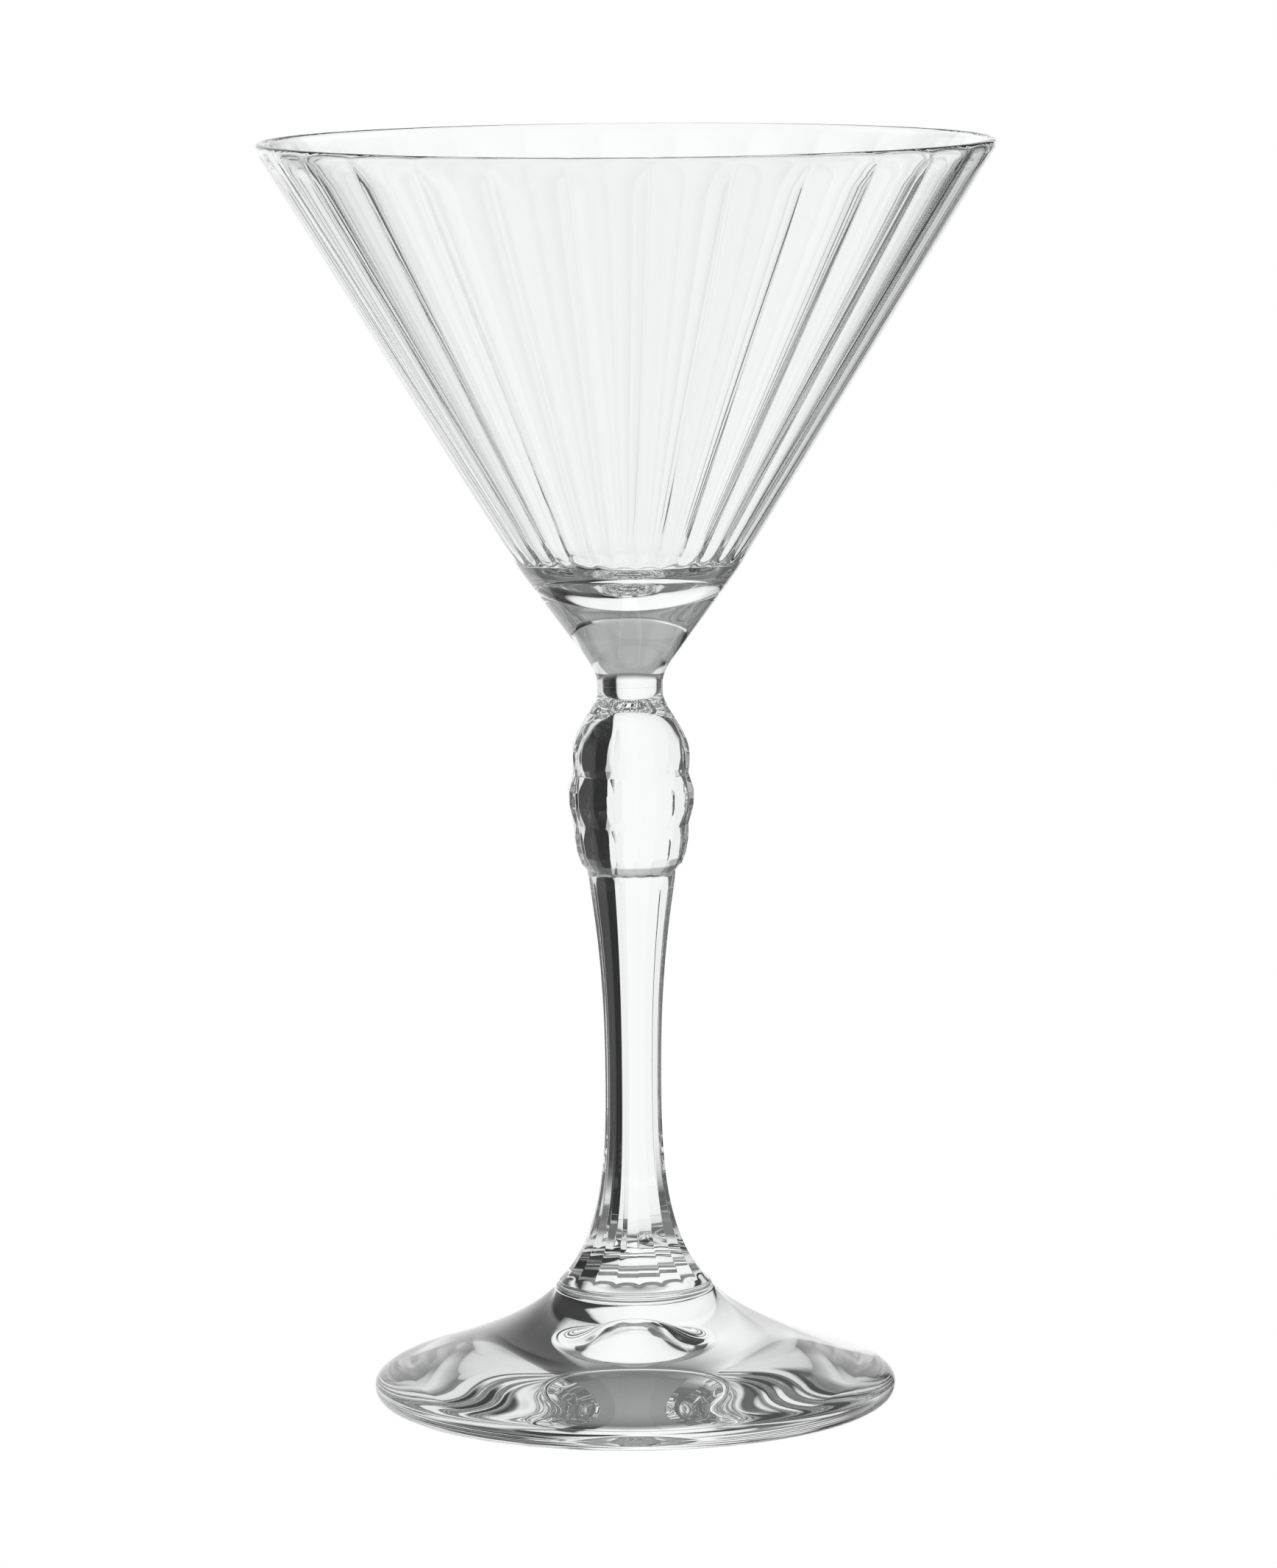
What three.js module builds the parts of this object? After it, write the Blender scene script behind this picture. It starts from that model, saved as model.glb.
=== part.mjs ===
// A martini glass: a fluted cone bowl, a stem with a faceted bead, and a round foot.
// The real ware is three bodies of the same clear glass, fused while hot at the neck and
// at the collar. Units are millimetres, +Z is up, and the origin is the centre of the foot's
// standing ring.

import * as THREE from 'three';

// Overall sizes
const glassHeight = 180;
const rimRadius = 52.4;
const footRadius = 37.3;

// Fused joints: each is drawn as a thin gap between two flat faces
const jointGap = 0.3;

// Bowl. A rise is a height above the neck joint.
const bowlHeight = 77;
const rimWall = 1.3;
const baseWall = 3.0;
const wallFootRise = 16.4;
const wallFootRadius = 15.4;
const neckRadius = 4.66;
const neckRise = 0.4;
const flareRise = 4.0;
const flareRadius = 6.35;
const cavityFloorRise = 17;
const cavityFloorRadius = 9.4;
const cavityDish = 3;
const innerFootLift = 2.2;
const neckCurve = { out: 0.06, lift: -0.3 };
const floorCurve = { inward: 1.6, lift: 0.4 };
const wallSteps = 6;

// Flutes on the inside of the bowl
const fluteCount = 28;
const fluteDepth = 0.34;
const fluteColumns = 3;
const fluteLowFade = 1.2;
const fluteTopFade = 4.5;

// Stem. A drop is a depth below the neck joint, and a rise is a height above the collar joint.
const panelCount = 18;
const beadNeckDrop = 1.4;
const beadShoulderDrop = 10.2;
const beadShoulderRadius = 8.42;
const beadUpperDrop = 12.6;
const beadUpperRadius = 8.36;
const beadUpperBeltDrop = 15;
const beadUpperBeltRadius = 9.0;
const beadLowerBeltDrop = 17;
const beadLowerBeltRadius = 8.95;
const beadLowerDrop = 19.8;
const beadLowerRadius = 8.32;
const beadSkirtDrop = 23.7;
const beadSkirtRadius = 7.85;
const beadRidgeDrop = 26.45;
const beadRidgeRadius = 6.55;
const beadUndercut = 0.2;
const waistRadius = 4.05;
const waistShare = 0.48;
const flareTopRise = 1.5;
const flareTopRadius = 9.8;
const collarRadius = 10.95;
const collarEdge = 0.35;
const panelLowFade = 0.4;
const panelHighFade = 1.1;
// Curve handles of the shaft and the dome: out is in millimetres from the curve's thinner end,
// and the others are shares of the curve's rise
const flareCurve = { out: 0.8, low: 0.23, high: 0.55 };
const taperCurve = { low: 0.4, high: 0.65, widen: 0.26 };
const domeCurve = { shoulderOut: 0.13, shoulderPull: 3.5, neckOut: 0.64, neckPull: 2.7 };

// Foot
const collarHeight = 16.7;
const seatLedge = 0.3;
const footShoulderRadius = 31;
const footShoulderHeight = 6.2;
const footEdgeHeight = 2.4;
const standingRadius = 35;
const standingRingWidth = 4;
const undersideHollow = 0.6;
const cupDepth = 6;
const cupRadius = 9.2;
const cupTopRadius = 1;
// Curve handles of the foot, as shares of each curve's run or rise
const lowEdgeShare = 0.25;
const edgeCurve = { rise: 0.5, run: 0.4, shoulder: 0.86 };
const slopeCurve = { outerRun: 0.55, outerRise: 0.28, innerRun: 0.17, innerRise: 0.62 };

// Facets of the meshes
const roundSegments = 64;
const curveSteps = 4;

const neckJoint = glassHeight - bowlHeight;
const collarJoint = collarHeight;
const halfGap = jointGap / 2;

// Clear soda-lime glass, as its own material for each body
function clearGlass(color) {
  return new THREE.MeshStandardMaterial({
    color,
    roughness: 0.03,
    metalness: 0,
    transparent: true,
    opacity: 0.35,
  });
}

// Turns an outline of (radius, height) points about Z. reshape(radius, height, angle) may
// change the radius of a point, and gives the same value at angle 0 and at a full turn.
function turned(outline, segments, reshape) {
  const geometry = new THREE.LatheGeometry(outline, segments);
  const position = geometry.attributes.position;
  for (let column = 0; column <= segments; column += 1) {
    const angle = (2 * Math.PI * (column % segments)) / segments;
    for (let row = 0; row < outline.length; row += 1) {
      const { x: radius, y: height } = outline[row];
      const shaped = radius > 0 ? reshape(radius, height, angle, row) : 0;
      const vertex = column * outline.length + row;
      position.setXYZ(vertex, shaped * Math.cos(angle), shaped * Math.sin(angle), height);
    }
  }
  geometry.deleteAttribute('normal');
  geometry.deleteAttribute('uv');
  return geometry;
}

function namedMesh(name, geometry, color) {
  const mesh = new THREE.Mesh(geometry, clearGlass(color));
  mesh.name = name;
  return mesh;
}

// 0 below low, 1 above high, and a smooth rise between
function ease(value, low, high) {
  return THREE.MathUtils.smoothstep(value, low, high);
}

function keepRound(radius) {
  return radius;
}

// Depth of one flute across its width: a round-bottomed channel that meets the next in a ridge
function fluteShape(angle) {
  const turn = (angle * fluteCount) / (2 * Math.PI);
  const across = 2 * (turn - Math.floor(turn)) - 1;
  return 1 - across * across;
}

// The bowl's outline runs up its outside, over the rim and down its inside to the floor.
function bowl() {
  const bottom = neckJoint + halfGap;
  const wallFoot = neckJoint + wallFootRise;
  const slope = (rimRadius - wallFootRadius) / (glassHeight - wallFoot);
  const lip = rimWall / 2;
  const lipHeight = glassHeight - lip;
  const innerFoot = wallFoot + innerFootLift;
  const innerFootRadius = wallFootRadius + innerFootLift * slope - baseWall * Math.hypot(1, slope);
  const floor = neckJoint + cavityFloorRise;

  const outside = new THREE.Path();
  outside.moveTo(0, bottom);
  outside.lineTo(neckRadius, bottom);
  outside.lineTo(neckRadius, neckJoint + neckRise);
  outside.quadraticCurveTo(
    neckRadius + neckCurve.out, neckJoint + (neckRise + flareRise) / 2 + neckCurve.lift,
    flareRadius, neckJoint + flareRise,
  );
  outside.lineTo(wallFootRadius, wallFoot);
  outside.lineTo((wallFootRadius + rimRadius) / 2, (wallFoot + glassHeight) / 2);
  outside.lineTo(rimRadius - lip * slope, lipHeight);
  outside.absarc(rimRadius - lip * slope - lip, lipHeight, lip, 0, Math.PI, false);

  const inside = new THREE.Path();
  const innerRim = rimRadius - lip * slope - rimWall;
  inside.moveTo(innerRim, lipHeight);
  for (let step = 1; step <= wallSteps; step += 1) {
    const share = step / wallSteps;
    inside.lineTo(
      THREE.MathUtils.lerp(innerRim, innerFootRadius, share),
      THREE.MathUtils.lerp(lipHeight - (step === wallSteps ? 0 : 1), innerFoot, share),
    );
  }
  inside.quadraticCurveTo(
    innerFootRadius - floorCurve.inward, floor + floorCurve.lift,
    cavityFloorRadius, floor,
  );
  inside.quadraticCurveTo(cavityFloorRadius / 2, floor - cavityDish, 0, floor - cavityDish);

  const outline = outside.getPoints(curveSteps).concat(inside.getPoints(curveSteps).slice(1));
  const innerRow = outside.getPoints(curveSteps).length;
  function flute(radius, height, angle, row) {
    if (row < innerRow) return radius;
    const low = ease(height, innerFoot - fluteLowFade, innerFoot + fluteLowFade);
    const top = 1 - ease(height, glassHeight - fluteTopFade, glassHeight - lip);
    return radius + fluteDepth * fluteShape(angle) * low * top;
  }
  return namedMesh('bowl', turned(outline, fluteCount * fluteColumns, flute), '#e9ecee');
}

// The outline of the stem at the corners of its panels, from the collar joint to the neck.
function stemOutline() {
  const bottom = collarJoint + halfGap;
  const top = neckJoint - halfGap;
  const ridge = neckJoint - beadRidgeDrop;
  const flareTop = collarJoint + flareTopRise;
  const waist = THREE.MathUtils.lerp(flareTop, ridge, waistShare);
  const flare = waist - flareTop;
  const taper = ridge - waist;
  const underRidge = beadRidgeRadius - beadUndercut;

  const shaft = new THREE.Path();
  shaft.moveTo(0, bottom);
  shaft.lineTo(collarRadius, bottom);
  shaft.lineTo(collarRadius, bottom + collarEdge);
  shaft.lineTo(flareTopRadius, flareTop);
  shaft.bezierCurveTo(
    waistRadius + flareCurve.out, flareTop + flareCurve.low * flare,
    waistRadius, flareTop + flareCurve.high * flare,
    waistRadius, waist,
  );
  shaft.bezierCurveTo(
    waistRadius, waist + taperCurve.low * taper,
    waistRadius + taperCurve.widen * (underRidge - waistRadius), waist + taperCurve.high * taper,
    underRidge, ridge,
  );

  const bead = new THREE.Path();
  bead.moveTo(beadRidgeRadius, ridge + beadUndercut);
  bead.lineTo(beadSkirtRadius, neckJoint - beadSkirtDrop);
  bead.lineTo(beadLowerRadius, neckJoint - beadLowerDrop);
  bead.lineTo(beadLowerBeltRadius, neckJoint - beadLowerBeltDrop);
  bead.lineTo(beadUpperBeltRadius, neckJoint - beadUpperBeltDrop);
  bead.lineTo(beadUpperRadius, neckJoint - beadUpperDrop);
  bead.lineTo(beadShoulderRadius, neckJoint - beadShoulderDrop);
  bead.bezierCurveTo(
    beadShoulderRadius + domeCurve.shoulderOut,
    neckJoint - beadShoulderDrop + domeCurve.shoulderPull,
    neckRadius + domeCurve.neckOut, neckJoint - beadNeckDrop - domeCurve.neckPull,
    neckRadius, neckJoint - beadNeckDrop,
  );
  bead.lineTo(neckRadius, top);
  bead.lineTo(0, top);
  return shaft.getPoints(2 * curveSteps).concat(bead.getPoints(curveSteps));
}

// The stem is round at its two joints and has flat panels between them. A panel edge is on -Y.
function stem() {
  const panelAngle = (2 * Math.PI) / panelCount;
  const flareTop = collarJoint + flareTopRise;
  const shoulder = neckJoint - beadShoulderDrop;
  const dome = neckJoint - beadNeckDrop - panelHighFade;
  function panel(radius, height, angle) {
    const low = ease(height, flareTop, flareTop + panelLowFade);
    const high = 1 - ease(height, shoulder, dome);
    const fromMiddle = ((angle + panelAngle / 2) % panelAngle) - panelAngle / 2;
    const flat = Math.cos(panelAngle / 2) / Math.cos(fromMiddle);
    return radius * THREE.MathUtils.lerp(1, flat, low * high);
  }
  return namedMesh('stem', turned(stemOutline(), 2 * panelCount, panel), '#e4e8ea');
}

// The foot falls from the seat of the stem to a rounded edge. It stands on a flat ring round a
// shallow hollow, with a deeper cup under the stem.
function foot() {
  const seat = collarJoint - halfGap;
  const seatRadius = collarRadius + seatLedge;
  const outline = new THREE.Path();
  const rise = collarHeight - footShoulderHeight;
  const run = footShoulderRadius - collarRadius;
  const cupTop = undersideHollow + cupDepth;
  const cupMiddle = (cupTopRadius + cupRadius) / 2;
  outline.moveTo(0, cupTop);
  outline.lineTo(cupTopRadius, cupTop);
  outline.bezierCurveTo(
    cupMiddle, cupTop,
    cupMiddle, undersideHollow,
    cupRadius, undersideHollow,
  );
  outline.quadraticCurveTo(
    (cupRadius + standingRadius - standingRingWidth) / 2, undersideHollow,
    standingRadius - standingRingWidth, 0,
  );
  outline.lineTo(standingRadius, 0);
  outline.quadraticCurveTo(footRadius, lowEdgeShare * footEdgeHeight, footRadius, footEdgeHeight);
  outline.bezierCurveTo(
    footRadius, footEdgeHeight + edgeCurve.rise * (footShoulderHeight - footEdgeHeight),
    footShoulderRadius + edgeCurve.run * (footRadius - footShoulderRadius),
    edgeCurve.shoulder * footShoulderHeight,
    footShoulderRadius, footShoulderHeight,
  );
  outline.bezierCurveTo(
    collarRadius + slopeCurve.outerRun * run, footShoulderHeight + slopeCurve.outerRise * rise,
    collarRadius + slopeCurve.innerRun * run, footShoulderHeight + slopeCurve.innerRise * rise,
    seatRadius, seat - seatLedge,
  );
  outline.lineTo(collarRadius, seat);
  outline.lineTo(0, seat);
  return namedMesh('foot', turned(outline.getPoints(curveSteps), roundSegments, keepRound), '#dfe4e6');
}

const glass = new THREE.Group();
glass.add(bowl(), stem(), foot());

export default glass;
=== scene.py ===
# %% [markdown]
# # A martini glass
# The glass is three bodies of the same clear soda-lime glass: a fluted cone bowl, a pressed
# stem with a faceted bead, and a round foot. In the factory they are fused while hot, at the
# neck and at the collar. The CAD model gives the joints and the overall sizes. Here each body
# gets the fine surface that clear glass needs. Glass shows almost nothing of itself. It shows
# its surroundings, bent by every curve, so a facet drawn too coarsely would look like cut paper.

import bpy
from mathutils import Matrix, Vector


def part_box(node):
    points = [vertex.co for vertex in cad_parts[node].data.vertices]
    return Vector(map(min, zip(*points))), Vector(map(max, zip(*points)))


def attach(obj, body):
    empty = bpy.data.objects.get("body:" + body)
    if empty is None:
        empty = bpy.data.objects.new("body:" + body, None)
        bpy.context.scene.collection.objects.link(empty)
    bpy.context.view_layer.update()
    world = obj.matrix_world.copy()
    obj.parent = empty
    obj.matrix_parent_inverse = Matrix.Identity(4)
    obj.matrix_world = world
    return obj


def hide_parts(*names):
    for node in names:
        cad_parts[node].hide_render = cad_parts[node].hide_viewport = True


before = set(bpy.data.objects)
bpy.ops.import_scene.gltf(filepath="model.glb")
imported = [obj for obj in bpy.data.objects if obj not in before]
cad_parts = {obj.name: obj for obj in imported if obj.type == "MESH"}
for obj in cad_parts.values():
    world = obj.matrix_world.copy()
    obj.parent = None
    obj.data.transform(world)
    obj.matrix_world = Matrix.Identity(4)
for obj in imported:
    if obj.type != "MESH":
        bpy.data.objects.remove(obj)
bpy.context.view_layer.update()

import math

import bpy
import numpy as np
from mathutils import Matrix

# %% [markdown]
# ## Camera
# A long lens about a metre away looks slightly down on the foot and almost along the rim, so
# the rim is a thin ellipse and the foot a fuller one. A real camera on a stand is never quite
# upright, and this one leans by less than half a degree. It stands four degrees round from
# the stem's panel edge, so the panels do not line up evenly left and right.

# %% The camera
MM = 0.001
camera_distance = 1050 * MM
camera_height = 229.4 * MM
camera_side = math.radians(4.0)
camera_pitch = math.radians(7.63)
camera_yaw = math.radians(-0.06)
camera_roll = math.radians(-0.44)
lens_mm = 210.4

camera_data = bpy.data.cameras.new("camera")
camera_data.sensor_fit = "HORIZONTAL"
camera_data.sensor_width = 36
camera_data.lens = lens_mm
camera = bpy.data.objects.new("camera", camera_data)
stand = Matrix.Rotation(-camera_side, 4, "Z") @ Matrix.Translation((0, -camera_distance, camera_height))
look = Matrix.Rotation(camera_yaw, 4, "Z") @ Matrix.Rotation(math.pi / 2 - camera_pitch, 4, "X")
camera.matrix_world = stand @ look @ Matrix.Rotation(camera_roll, 4, "Z")
bpy.context.scene.collection.objects.link(camera)
bpy.context.scene.camera = camera
print("lens", lens_mm, "mm at", camera_distance, "m")

# %% [markdown]
# ## Sizes from the frame
# The heights of the two fused joints, the rim and the foot come from the CAD model. All other
# sizes below are in millimetres too, and belong to the section of each body.

# %% Sizes from the frame
bowl_low, bowl_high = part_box("bowl")
stem_low, stem_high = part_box("stem")
foot_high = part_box("foot")[1]
neck_joint = (bowl_low[2] + stem_high[2]) / 2 / MM
collar_joint = (stem_low[2] + foot_high[2]) / 2 / MM
rim_height = bowl_high[2] / MM
rim_radius = bowl_high[0] / MM
foot_radius = foot_high[0] / MM
print("joints at", round(neck_joint, 2), "and", round(collar_joint, 2))
print("rim", round(rim_radius, 2), "at", round(rim_height, 2), "foot", round(foot_radius, 2))

# %% [markdown]
# ## Surfaces from outlines
# Each body is an outline of (radius, height) points carried round the Z axis, and the radius
# may also change with the angle, for flutes and panels. One could turn a few points and
# smooth them with a subdivision modifier, but that rounds off the sharp lines that make glass
# sparkle. So every point is worked out, as whole arrays. The skin runs from the axis, round
# the outside and back to the axis without a gap, so light enters and leaves each body once.
# Each outline starts and ends on a tiny ring round the axis, which a fan of faces closes. Just
# beside a joint lies a close second ring, which keeps the shading of the skin away from the
# flat joint face.

# %% Rings that every outline has
axis_ring = 0.02
joint_row = 0.02


# %% Outline helpers
def line(start, end, count=2):
    """Points evenly spaced on the straight line from start to end, both included."""
    share = np.linspace(0, 1, count)[:, None]
    return (1 - share) * np.array(start, float) + share * np.array(end, float)


def bezier(points, count):
    """Points on the Bezier curve of 3 or 4 control points: each is a weighted mean of them,
    and the weights are the binomial terms of t and 1 - t."""
    t = np.linspace(0, 1, count)[:, None]
    order = len(points) - 1
    total = 0
    for k, point in enumerate(points):
        total = total + math.comb(order, k) * t**k * (1 - t) ** (order - k) * np.array(point, float)
    return total


def arc(centre, radius, start, end, count):
    """Points on a circle round centre, from angle start to angle end in degrees."""
    angle = np.radians(np.linspace(start, end, count))
    return np.array(centre, float) + radius * np.stack([np.cos(angle), np.sin(angle)], axis=1)


def chain(*runs):
    """The runs of points one after another, without the repeated point where two runs meet."""
    kept = [runs[0]] + [run[1:] if np.allclose(run[0], last[-1]) else run
                        for last, run in zip(runs[:-1], runs[1:])]
    return np.concatenate(kept)


def ease(value, low, high):
    """0 below low, 1 above high, and 3s^2 - 2s^3 of the share s between them."""
    share = np.clip((value - low) / (high - low), 0, 1)
    return share * share * (3 - 2 * share)


# %% A closed body from a grid of points
def closed_body(name, radius, height, angle):
    """A mesh through the points (radius cos angle, radius sin angle, height), which are arrays
    of rings by columns. Each end is closed by a fan to a point on the axis at the height of
    its ring."""
    rings, columns = radius.shape
    grid = np.stack([radius * np.cos(angle), radius * np.sin(angle), height], axis=-1)
    ends = np.array([[0, 0, height[0, 0]], [0, 0, height[-1, 0]]], float)
    points = np.concatenate([grid.reshape(-1, 3), ends]) * MM
    index = np.arange(rings * columns).reshape(rings, columns)
    following = np.roll(index, -1, axis=1)
    quads = np.stack([index[:-1], following[:-1], following[1:], index[1:]], axis=-1)
    first = np.stack([np.full(columns, rings * columns), following[0], index[0]], axis=-1)
    last = np.stack([np.full(columns, rings * columns + 1), index[-1], following[-1]], axis=-1)
    faces = quads.reshape(-1, 4).tolist() + first.tolist() + last.tolist()
    mesh = bpy.data.meshes.new(name)
    mesh.from_pydata(points.tolist(), [], faces)
    mesh.validate()
    mesh.shade_smooth()
    body = bpy.data.objects.new(name, mesh)
    bpy.context.scene.collection.objects.link(body)
    print(name, rings, "rings of", columns, "points,", len(faces), "faces")
    return body


# %% [markdown]
# ## The bowl
# The bowl is shaped in a ribbed mould and then fire polished. Its outside is a smooth cone, and
# 28 flutes run up its inside: shallow channels that meet in soft ridges. Each flute starts in a
# rounded U just above the floor, and it fades out under the lip, where the last flame melted it
# away. Below the cavity the cone is solid glass. With the dished floor on top it works as a
# thick lens, which is why its lower half looks grey: it shows the room overhead.

# %% Bowl sizes
# Each curve's handle is how far it lies out from, or in from, the wall and how far up.
rim_wall = 1.3
base_wall = 3.0
wall_foot = neck_joint + 16.4
wall_foot_radius = 15.4
neck_radius = 4.66
neck_top = neck_joint + 0.4
flare_top = neck_joint + 4.0
flare_radius = 6.35
flare_curve = (0.06, 1.5)
wall_bend = 0.5
wall_bend_drop = 0.7
inner_foot_lift = 2.2
inner_foot_curve = (1.6, 0.6)
cavity_floor = neck_joint + 17.0
cavity_floor_radius = 9.4
cavity_floor_curve = (1.0, 0.05)
cavity_dish = 3.0
rim_spread = 0.4
rim_inset = 0.15
rim_bend = 0.8
rim_arc_start = -12

# %% Flute sizes
flute_count = 28
flute_columns = 16
flute_depth_rim = 0.64
flute_depth_base = 0.3
flute_run_out = 3.2
flute_top_fade = 3.0
flute_top_left = 0.35


# %% The flutes
def flute_channel(angle, height, foot_height, lip_height):
    """How far the inner wall is pressed outwards. Across a flute it is a parabola, 1 in the
    middle and 0 at the ridges. Below the flute's last full section it loses the square of the
    distance down, and it never falls under 0, which leaves a U-shaped end. Near the lip it
    fades out."""
    across = 2 * np.mod(angle * flute_count / (2 * np.pi), 1) - 1
    share = np.clip((height - foot_height) / (lip_height - foot_height), 0, 1)
    depth = flute_depth_base + (flute_depth_rim - flute_depth_base) * share
    below = np.clip((foot_height + flute_run_out - height) / flute_run_out, 0, 2)
    shape = np.clip(1 - across**2 - below**2, 0, None)
    fade = 1 - (1 - flute_top_left) * ease(height, lip_height - flute_top_fade, lip_height)
    return depth * shape * fade


# %% The bowl's outline
lip = rim_wall / 2
wall_slope = (rim_radius + rim_spread - wall_foot_radius) / (rim_height - wall_foot)
bend_low = (wall_foot_radius - wall_bend, wall_foot - wall_bend_drop)
bend_high = (wall_foot_radius + wall_bend * wall_slope, wall_foot + wall_bend)
bowl_outside = chain(
    line((axis_ring, neck_joint), (neck_radius, neck_joint), 3),
    line((neck_radius, neck_joint), (neck_radius, neck_joint + joint_row)),
    line((neck_radius, neck_joint + joint_row), (neck_radius, neck_top), 4),
    bezier([(neck_radius, neck_top),
            (neck_radius + flare_curve[0], neck_top + flare_curve[1]),
            (flare_radius, flare_top)], 12),
    line((flare_radius, flare_top), bend_low, 12),
    bezier([bend_low, (wall_foot_radius, wall_foot), bend_high], 6),
    line(bend_high, (rim_radius - rim_inset, rim_height - lip - rim_bend), 30),
    arc((rim_radius - lip, rim_height - lip), lip, rim_arc_start, 180, 14),
)
inner_top = (rim_radius - rim_wall, rim_height - lip)
inner_foot = wall_foot + inner_foot_lift
inner_foot_radius = wall_foot_radius + inner_foot_lift * wall_slope
inner_foot_radius -= base_wall * math.hypot(1, wall_slope)
bowl_inside = chain(
    line(inner_top, (inner_foot_radius, inner_foot), 60),
    bezier([(inner_foot_radius, inner_foot),
            (inner_foot_radius - inner_foot_curve[0], cavity_floor + inner_foot_curve[1]),
            (cavity_floor_radius + cavity_floor_curve[0], cavity_floor + cavity_floor_curve[1]),
            (cavity_floor_radius, cavity_floor)], 18),
    bezier([(cavity_floor_radius, cavity_floor),
            (cavity_floor_radius / 2, cavity_floor - cavity_dish),
            (axis_ring, cavity_floor - cavity_dish)], 12),
)
print("wall slope", round(wall_slope, 3), "inner foot radius", round(inner_foot_radius, 2))


# %% The bowl's surface
def make_bowl():
    """The bowl's outline turned, with the flutes pressed into the inner part of it."""
    outline = chain(bowl_outside, bowl_inside)
    columns = flute_count * flute_columns
    angle = np.linspace(0, 2 * np.pi, columns, endpoint=False)[None, :]
    radius = outline[:, :1] + np.zeros_like(angle)
    height = outline[:, 1:] + np.zeros_like(angle)
    inner = (np.arange(len(outline)) >= len(bowl_outside))[:, None]
    radius = radius + inner * flute_channel(angle, height, inner_foot, inner_top[1])
    return closed_body("bowl_glass", radius, height, angle)


bowl = make_bowl()

# %% [markdown]
# ## The stem
# The stem is pressed in one mould. 18 flat panels run up the shaft and on over the bead, where
# the section widens into belts with a shallow crease between them. Through each crease the
# panel edges are nicked, which leaves a small diamond facet on every edge. Fire polishing
# rounds all edges by a third of a millimetre. At both ends the panels fade into a circle: at
# the foot end they run out in scallops on a plain cone, the collar.

# %% Stem sizes
panel_count = 18
panel_columns = 16
panel_crowding = 0.6
panel_fillet = 0.35
waist_radius = 4.05
waist_height = 45.5
flare_start = collar_joint + 1.5
flare_start_radius = 9.8
flare_fade = (-0.1, 0.4)
collar_radius = 10.95
collar_edge = 0.3
collar_land = 0.35
collar_bend = 0.05
# Handles of the shaft's two curves: out is in millimetres, and the others are shares.
flare_handles = {"out": 0.8, "low": 0.23, "high": 0.55}
taper_handles = {"low": 0.4, "high": 0.65, "widen": 0.26}

# %% Bead sizes
# Each row is the radius at the panel edges and the drop below the neck joint.
ridge_radius = 6.55
ridge_undercut = 0.12
ridge = neck_joint - 26.45
upper_crease = 12.6
lower_crease = 19.8
bead_shoulder = (8.42, 10.2)
bead_rows = [
    (7.3, 25.4),
    (7.85, 23.7),
    (8.2, 21.7),
    (8.32, lower_crease),
    (8.95, 17.0),
    (9.0, 15.0),
    (8.36, upper_crease),
    (8.41, 11.2),
    bead_shoulder,
]
bead_neck = neck_joint - 1.4
bead_fade = 2.5
bead_levels = 170
# Handles of the dome's curve, in millimetres.
dome_handles = {"shoulder_out": 0.13, "shoulder_pull": 3.5, "neck_out": 0.64, "neck_pull": 2.7}
nick_depth = 0.11
nick_slope = 0.05
nick_heights = [neck_joint - lower_crease, neck_joint - upper_crease, ridge + ridge_undercut]


# %% Rounded polygons
def from_corner(angle, sides):
    """The angle past the nearest corner of the polygon, negative before it."""
    side = 2 * math.pi / sides
    return np.mod(angle + side / 2, side) - side / 2


def polygon(angle, sides, radius, fillet):
    """Radius of a regular polygon with rounded corners. On a flat side it is the side's
    distance over the cosine of the angle to its middle. Close to a corner it is where the ray
    meets the fillet's circle, whose centre is on the corner's own line."""
    half = math.pi / sides
    flat = radius * math.cos(half)
    past = from_corner(angle, sides)
    centre = (flat - fillet) / math.cos(half)
    tangent = np.arctan2(fillet * math.sin(half), centre + fillet * math.cos(half))
    side = flat / np.cos(half - np.abs(past))
    under = fillet**2 - (centre * np.sin(past)) ** 2
    bend = centre * np.cos(past) + np.sqrt(np.clip(under, 0, None))
    return np.where(np.abs(past) < tangent, bend, side)


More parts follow.
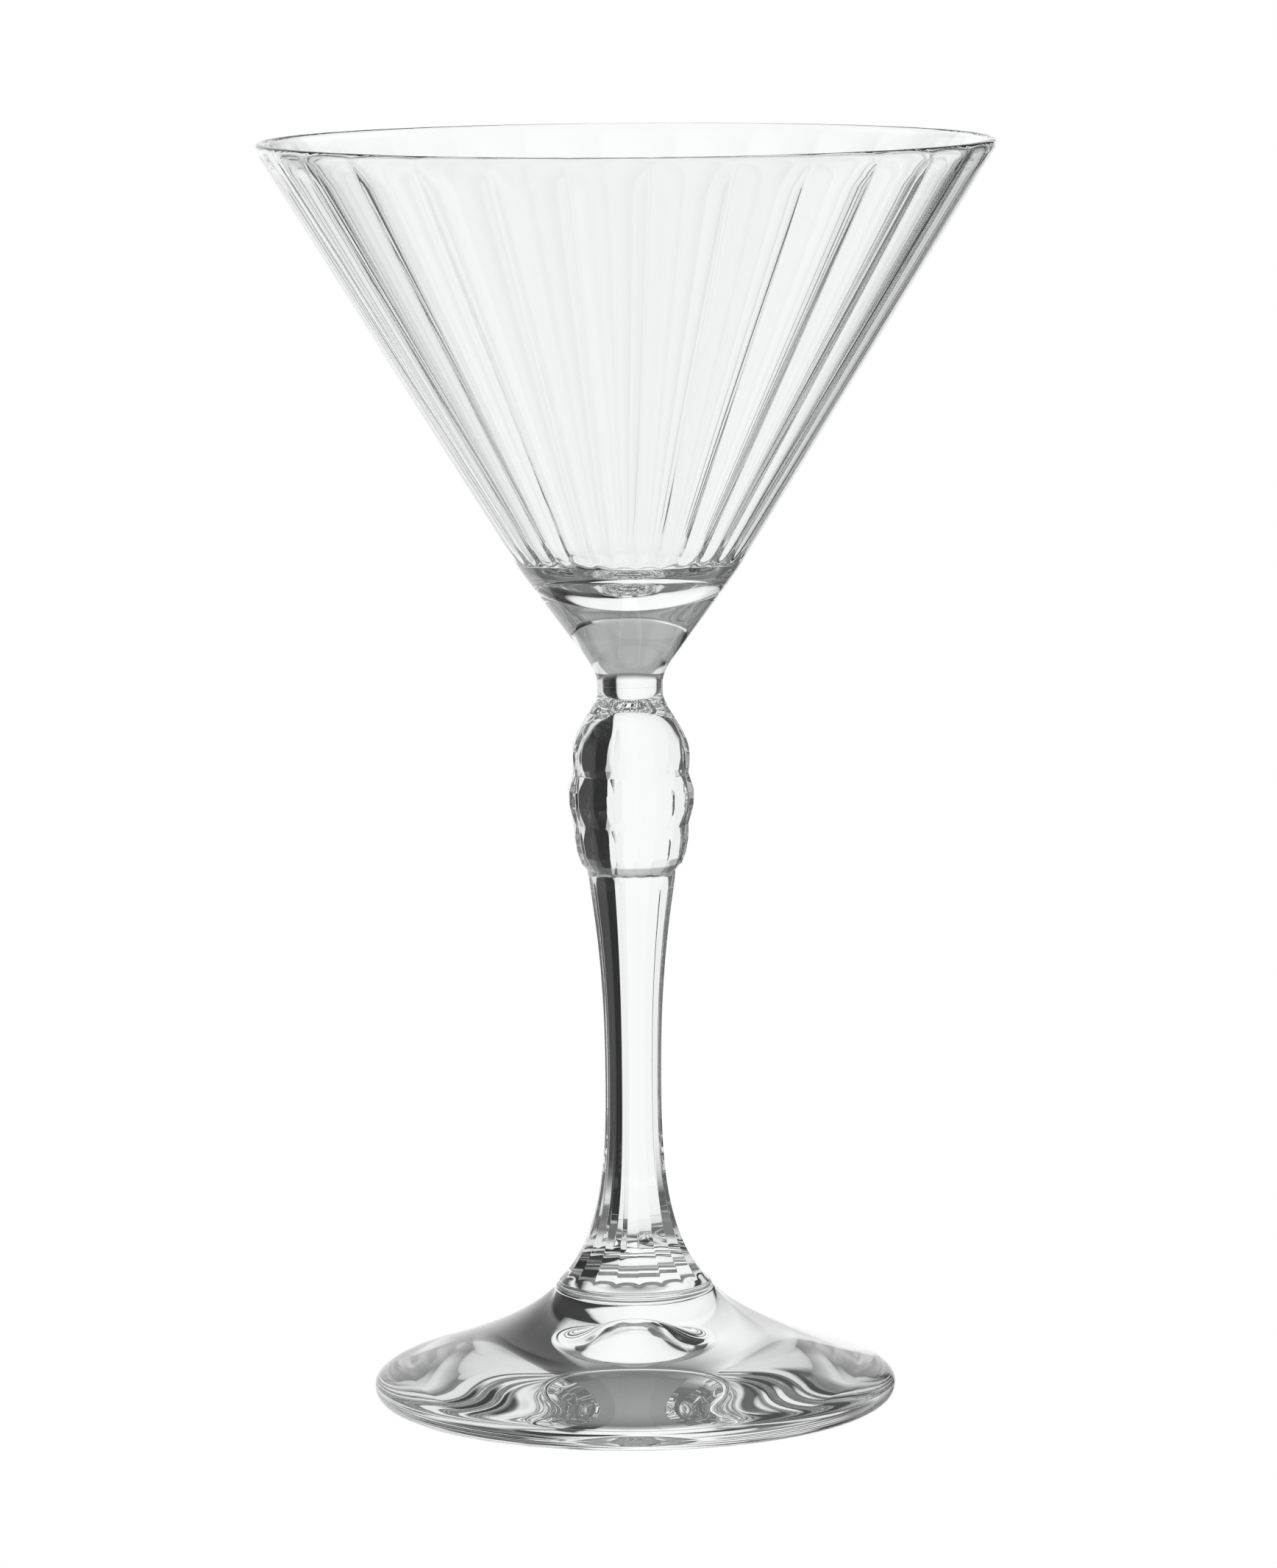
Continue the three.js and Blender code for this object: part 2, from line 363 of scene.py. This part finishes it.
# %% The stem's outline
def stem_outline():
    """Points up the panel edges, from the collar joint over the bead to the neck joint."""
    under = ridge_radius - ridge_undercut
    flare = waist_height - flare_start
    taper = ridge - waist_height
    shoulder = (bead_shoulder[0], neck_joint - bead_shoulder[1])
    rows = np.array([(ridge_radius, neck_joint - ridge - ridge_undercut)] + bead_rows)
    levels = np.linspace(ridge + ridge_undercut, shoulder[1], bead_levels)
    belts = np.interp(levels, neck_joint - rows[:, 1], rows[:, 0])
    return chain(
        line((axis_ring, collar_joint), (collar_radius - collar_edge, collar_joint), 3),
        bezier([(collar_radius - collar_edge, collar_joint), (collar_radius, collar_joint + collar_bend),
                (collar_radius, collar_joint + collar_land)], 4),
        line((collar_radius, collar_joint + collar_land), (flare_start_radius, flare_start), 5),
        bezier([(flare_start_radius, flare_start),
                (waist_radius + flare_handles["out"], flare_start + flare_handles["low"] * flare),
                (waist_radius, flare_start + flare_handles["high"] * flare),
                (waist_radius, waist_height)], 60),
        bezier([(waist_radius, waist_height),
                (waist_radius, waist_height + taper_handles["low"] * taper),
                (waist_radius + taper_handles["widen"] * (under - waist_radius),
                 waist_height + taper_handles["high"] * taper),
                (under, ridge)], 40),
        np.stack([belts, levels], axis=1),
        bezier([shoulder,
                (shoulder[0] + dome_handles["shoulder_out"],
                 shoulder[1] + dome_handles["shoulder_pull"]),
                (neck_radius + dome_handles["neck_out"], bead_neck - dome_handles["neck_pull"]),
                (neck_radius, bead_neck)], 34),
        line((neck_radius, bead_neck), (neck_radius, neck_joint - joint_row), 4),
        line((neck_radius, neck_joint - joint_row), (neck_radius, neck_joint)),
        line((neck_radius, neck_joint), (axis_ring, neck_joint), 3),
    )


# %% The stem's surface
def make_stem():
    """The outline carried round as a polygon, fading to a circle at both ends. A nick is a
    flat cut across a panel edge: its distance from the axis is the edge's radius less the
    nick's depth, which shrinks with the distance from the crease. Columns crowd together at
    the edges by a sine of the turn, and a panel edge is on -Y."""
    outline = stem_outline()
    turn = np.arange(panel_count * panel_columns) / panel_columns
    turn = turn - panel_crowding * np.sin(2 * np.pi * turn) / (2 * np.pi)
    angle = (turn * 2 * np.pi / panel_count)[None, :]
    edge = outline[:, :1]
    height = outline[:, 1:]
    facets = polygon(angle, panel_count, edge, panel_fillet)
    for level in nick_heights:
        nick = nick_depth - nick_slope * np.abs(height - level)
        facets = np.minimum(facets, (edge - nick) / np.cos(from_corner(angle, panel_count)))
    low = ease(height, flare_start + flare_fade[0], flare_start + flare_fade[1])
    high = 1 - ease(height, neck_joint - bead_shoulder[1], bead_neck - bead_fade)
    radius = edge + (facets - edge) * low * high
    return closed_body("stem_glass", radius, height + np.zeros_like(angle), angle - np.pi / 2)


stem = make_stem()

# %% [markdown]
# ## The foot
# The foot is pressed: a low ogee that falls from the collar, flattens, and turns over in a
# thick rounded edge. It stands on a flat ring. Inside the ring the underside is slightly
# hollow, and under the stem it has a cup a few millimetres deep. From the front one looks
# through the slope at that underside. It reflects like a mirror and shows the stem a second
# time, and the cup shows as a bright oval.

# %% Foot sizes
foot_columns = 256
seat_ledge = 0.3
seat_radius = collar_radius + seat_ledge
shoulder_radius = 31.0
shoulder_height = 6.2
edge_height = 2.4
standing_radius = 35.0
hollow_radius = 31.0
underside_hollow = 0.6
cup_radius = 9.2
cup_top_radius = 1.0
cup_depth = 6.0
# Handles of the foot's curves, as shares of each curve's run or rise.
edge_low = 0.25
edge_handles = {"rise": 0.5, "run": 0.4, "shoulder": 0.86}
slope_handles = {"outer_run": 0.55, "outer_rise": 0.28, "inner_run": 0.17, "inner_rise": 0.62}


# %% The foot's outline
def foot_outline():
    """Points from the underside, round the edge and up the ogee to the collar joint. The
    underside is a parabola across the hollow plus the cup, which is an eased step."""
    rise = collar_joint - shoulder_height
    run = shoulder_radius - collar_radius
    across = np.linspace(axis_ring, hollow_radius, 90)
    hollow = underside_hollow * (1 - (across / hollow_radius) ** 2)
    cup = cup_depth * (1 - ease(across, cup_top_radius, cup_radius))
    return chain(
        np.stack([across, hollow + cup], axis=1),
        line((hollow_radius, 0), (standing_radius, 0), 6),
        bezier([(standing_radius, 0), (foot_radius, edge_low * edge_height),
                (foot_radius, edge_height)], 12),
        bezier([(foot_radius, edge_height),
                (foot_radius, edge_height + edge_handles["rise"] * (shoulder_height - edge_height)),
                (shoulder_radius + edge_handles["run"] * (foot_radius - shoulder_radius),
                 edge_handles["shoulder"] * shoulder_height),
                (shoulder_radius, shoulder_height)], 16),
        bezier([(shoulder_radius, shoulder_height),
                (collar_radius + slope_handles["outer_run"] * run,
                 shoulder_height + slope_handles["outer_rise"] * rise),
                (collar_radius + slope_handles["inner_run"] * run,
                 shoulder_height + slope_handles["inner_rise"] * rise),
                (seat_radius, collar_joint - collar_edge)], 32),
        bezier([(seat_radius, collar_joint - collar_edge), (seat_radius, collar_joint - joint_row),
                (collar_radius - collar_edge, collar_joint)], 5),
        line((collar_radius - collar_edge, collar_joint), (axis_ring, collar_joint), 3),
    )


# %% The foot's surface
def make_foot():
    """The foot's outline turned. Its radius is the same all the way round."""
    outline = foot_outline()
    angle = np.linspace(0, 2 * np.pi, foot_columns, endpoint=False)[None, :]
    spread = np.zeros_like(angle)
    return closed_body("foot_glass", outline[:, :1] + spread, outline[:, 1:] + spread, angle)


foot = make_foot()

# %% [markdown]
# ## Glass
# Clear soda-lime glass has an index of refraction of 1.52 and hardly any colour. Fire polishing
# leaves its skin mirror smooth, so its roughness is zero. A tinted volume could be added, but
# in walls this thin it would not be seen.


# %% Material helpers
def linear(hex_colour):
    """An sRGB hex colour as linear red, green, blue and alpha."""
    channels = [int(hex_colour[i:i + 2], 16) / 255 for i in (1, 3, 5)]
    return [c / 12.92 if c <= 0.04045 else ((c + 0.055) / 1.055) ** 2.4 for c in channels] + [1]


def add_node(tree, kind, links=None, values=None, **settings):
    """A new node in the tree. Settings are its own properties, values are numbers for its
    inputs, and links are outputs of other nodes for its inputs."""
    node = tree.nodes.new(kind)
    for name, value in settings.items():
        setattr(node, name, value)
    for key, value in (values or {}).items():
        node.inputs[key].default_value = value
    for key, socket in (links or {}).items():
        tree.links.new(socket, node.inputs[key])
    return node


def principled(name, values):
    """A material with one Principled shader and these input values."""
    material = bpy.data.materials.new(name)
    material.use_nodes = True
    material.node_tree.nodes.clear()
    shader = add_node(material.node_tree, "ShaderNodeBsdfPrincipled", values=values)
    add_node(material.node_tree, "ShaderNodeOutputMaterial", {"Surface": shader.outputs[0]})
    return material


# %% Clear glass and the fused joint
# Full transmission at index 1.52 gives the bright edges, the bent view and the sparkle.
glass_values = {
    "Base Color": linear("#fdfefe"),
    "Transmission Weight": 1.0,
    "IOR": 1.52,
    "Roughness": 0.0,
}
# Where two bodies were fused no surface is left, so light goes straight on. The eye sees
# nothing there.
fused_joint = principled("fused_glass_joint", {"Alpha": 0.0})
print("glass index", glass_values["IOR"])

# %% Give the bodies their glass
# The flat faces of a fused joint take the joint's material and stay flat shaded, so they do
# not bend the light in the skin beside them.
joint_tolerance = 0.001

for piece, node in ((bowl, "bowl"), (stem, "stem"), (foot, "foot")):
    piece.data.materials.append(principled("clear_soda_lime_" + node, glass_values))
    piece.data.materials.append(fused_joint)
    centre = np.empty(len(piece.data.polygons) * 3)
    piece.data.polygons.foreach_get("center", centre)
    centre = centre.reshape(-1, 3) / MM
    reach = np.hypot(centre[:, 0], centre[:, 1])
    at_neck = np.abs(centre[:, 2] - neck_joint) < joint_tolerance
    at_neck &= reach < neck_radius
    at_collar = np.abs(centre[:, 2] - collar_joint) < joint_tolerance
    at_collar &= reach < collar_radius - collar_edge
    joint = at_neck | at_collar
    piece.data.polygons.foreach_set("material_index", joint.astype(int))
    piece.data.polygons.foreach_set("use_smooth", ~joint)
    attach(piece, "root")
    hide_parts(node)
    print(node, "joint faces", int(joint.sum()))

# %% [markdown]
# ## Floor
# Glass on white is lit from behind: a white sweep glows evenly under and behind it. The floor
# here is that sweep. Only the camera sees it directly. The glass itself takes its light from
# the studio in the next step, so the sweep leaves no shadow and no second horizon in the glass.

# %% The white sweep
# Both are in metres.
floor_half = 20
floor_drop = 0.1 * MM
corners = [(-1, -1), (1, -1), (1, 1), (-1, 1)]
floor_mesh = bpy.data.meshes.new("floor")
floor_mesh.from_pydata([(x * floor_half, y * floor_half, -floor_drop) for x, y in corners],
                       [], [(0, 1, 2, 3)])
floor = bpy.data.objects.new("floor", floor_mesh)
bpy.context.scene.collection.objects.link(floor)
floor.visible_transmission = False
floor.visible_glossy = False
floor.visible_diffuse = False
floor.visible_shadow = False

# An even white glow, as from a lit acrylic sheet.
sweep = bpy.data.materials.new("lit_white_acrylic")
sweep.use_nodes = True
sweep.node_tree.nodes.clear()
glow = add_node(sweep.node_tree, "ShaderNodeEmission", values={"Color": linear("#ffffff")})
add_node(sweep.node_tree, "ShaderNodeOutputMaterial", {"Surface": glow.outputs[0]})
floor_mesh.materials.append(sweep)
print("floor", 2 * floor_half, "m square")

# %% [markdown]
# ## Studio light
# The studio is described by direction: a bright backdrop straight behind, black flags to either
# side of it, soft white panels further round, a dim room behind the camera and a grey ceiling.
# The flags draw the dark edges that make clear glass visible against white. In plain even light
# those edges are almost gone. Lamps could do this too, but their outlines would show in every
# facet. The studio is set for the front of the glass, and from behind the dim room shows in it.

# %% Brightness by direction
# Azimuth is in degrees from straight behind the glass, positive to the right.
round_about = [
    (-180, 0.15), (-110, 0.15), (-95, 0.8), (-70, 0.8), (-62, 0.05), (-45, 0.05), (-41, 0.9),
    (-24, 1.0), (-2, 1.05), (10, 0.98), (16, 0.86), (18, 0.02), (43, 0.02), (49, 0.9), (95, 0.8),
    (110, 0.15), (180, 0.15),
]
# Elevation is in degrees above the horizon. The flags and panels fade out 12 to 32 degrees up.
# Above them the dark upper walls pass softly into the grey ceiling.
upper_share = [(-90, 0.0), (12, 0.0), (32, 1.0), (90, 1.0)]
upper_level = [(-90, 0.12), (20, 0.12), (65, 0.42), (90, 0.42)]

world = bpy.data.worlds.new("studio")
bpy.context.scene.world = world
world.use_nodes = True
tree = world.node_tree
tree.nodes.clear()


# %% Levels by angle
def level_by_angle(angle_output, half_range, stops):
    """A colour ramp over an angle in radians, straight between its (degrees, level) stops."""
    unit = add_node(tree, "ShaderNodeMapRange", {"Value": angle_output},
                    {"From Min": -math.radians(half_range), "From Max": math.radians(half_range)})
    ramp = add_node(tree, "ShaderNodeValToRGB", {"Fac": unit.outputs[0]})
    ends = ramp.color_ramp.elements
    ends[0].position = 0
    ends[0].color = [stops[0][1]] * 3 + [1]
    ends[1].position = 1
    ends[1].color = [stops[-1][1]] * 3 + [1]
    for degrees, level in stops[1:-1]:
        stop = ends.new((degrees + half_range) / (2 * half_range))
        stop.color = [level] * 3 + [1]
    return ramp.outputs["Color"]


# %% The studio's nodes
coordinates = add_node(tree, "ShaderNodeTexCoord")
direction = add_node(tree, "ShaderNodeSeparateXYZ", {"Vector": coordinates.outputs["Generated"]})
compass = add_node(tree, "ShaderNodeMath", {0: direction.outputs["X"], 1: direction.outputs["Y"]},
                   operation="ARCTAN2")
azimuth = add_node(tree, "ShaderNodeMath", {0: compass.outputs[0]}, {1: camera_side},
                   operation="SUBTRACT")
elevation = add_node(tree, "ShaderNodeMath", {0: direction.outputs["Z"]}, operation="ARCSINE")
walls = level_by_angle(azimuth.outputs[0], 180, round_about)
share = level_by_angle(elevation.outputs[0], 90, upper_share)
above = level_by_angle(elevation.outputs[0], 90, upper_level)
room = add_node(tree, "ShaderNodeMix", {"Factor": share, "A": walls, "B": above},
                data_type="RGBA")

# The camera itself sees the sweep go on upwards in plain white.
light_path = add_node(tree, "ShaderNodeLightPath")
seen = add_node(tree, "ShaderNodeMix",
                {"Factor": light_path.outputs["Is Camera Ray"], "A": room.outputs["Result"]},
                {"B": linear("#ffffff")}, data_type="RGBA")
background = add_node(tree, "ShaderNodeBackground", {"Color": seen.outputs["Result"]})
add_node(tree, "ShaderNodeOutputWorld", {"Surface": background.outputs[0]})
print("studio nodes", len(tree.nodes))

# %% [markdown]
# ## Light bounces
# A ray in the bead or the foot can reflect many times before it leaves the glass, and each
# bounce that is cut off would leave a black spot. Plain colour keeps white paper white.

# %% Bounces and colour
bounces = 24
scene = bpy.context.scene
scene.view_settings.view_transform = "Standard"
scene.cycles.max_bounces = bounces
scene.cycles.glossy_bounces = bounces
scene.cycles.transmission_bounces = bounces
print("bounces", bounces)
